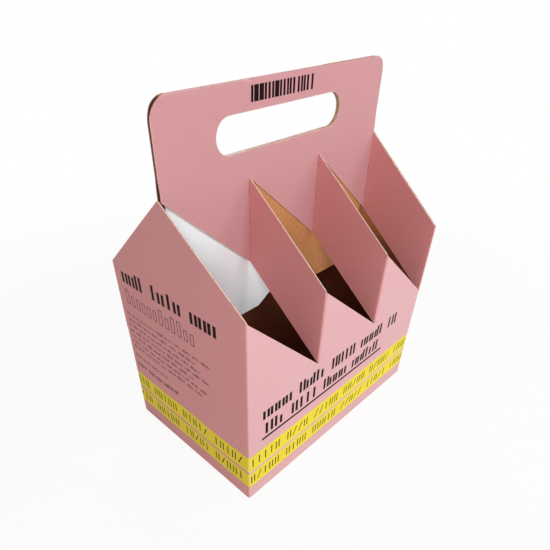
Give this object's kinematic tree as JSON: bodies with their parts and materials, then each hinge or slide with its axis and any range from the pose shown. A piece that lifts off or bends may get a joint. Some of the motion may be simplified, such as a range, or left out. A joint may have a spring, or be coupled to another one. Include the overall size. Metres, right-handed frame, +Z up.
{
  "type": "bottle carrier",
  "caption": "Folded cardboard carrier with gabled ends and open cells along both sides of a tall central handle with a hand slot, for carrying drinks.",
  "frame": {"origin": "middle of the base, on the surface that the carrier stands on", "axes": "+Z up, +X along the row of cells, front wall towards -Y"},
  "size_m": [0.2, 0.132, 0.247],
  "materials": {
    "printed_board": "matt pink print outside, plain brown kraft inside"
  },
  "bodies": {
    "root": {"folded_carton": "printed_board"}
  },
  "joints": []
}
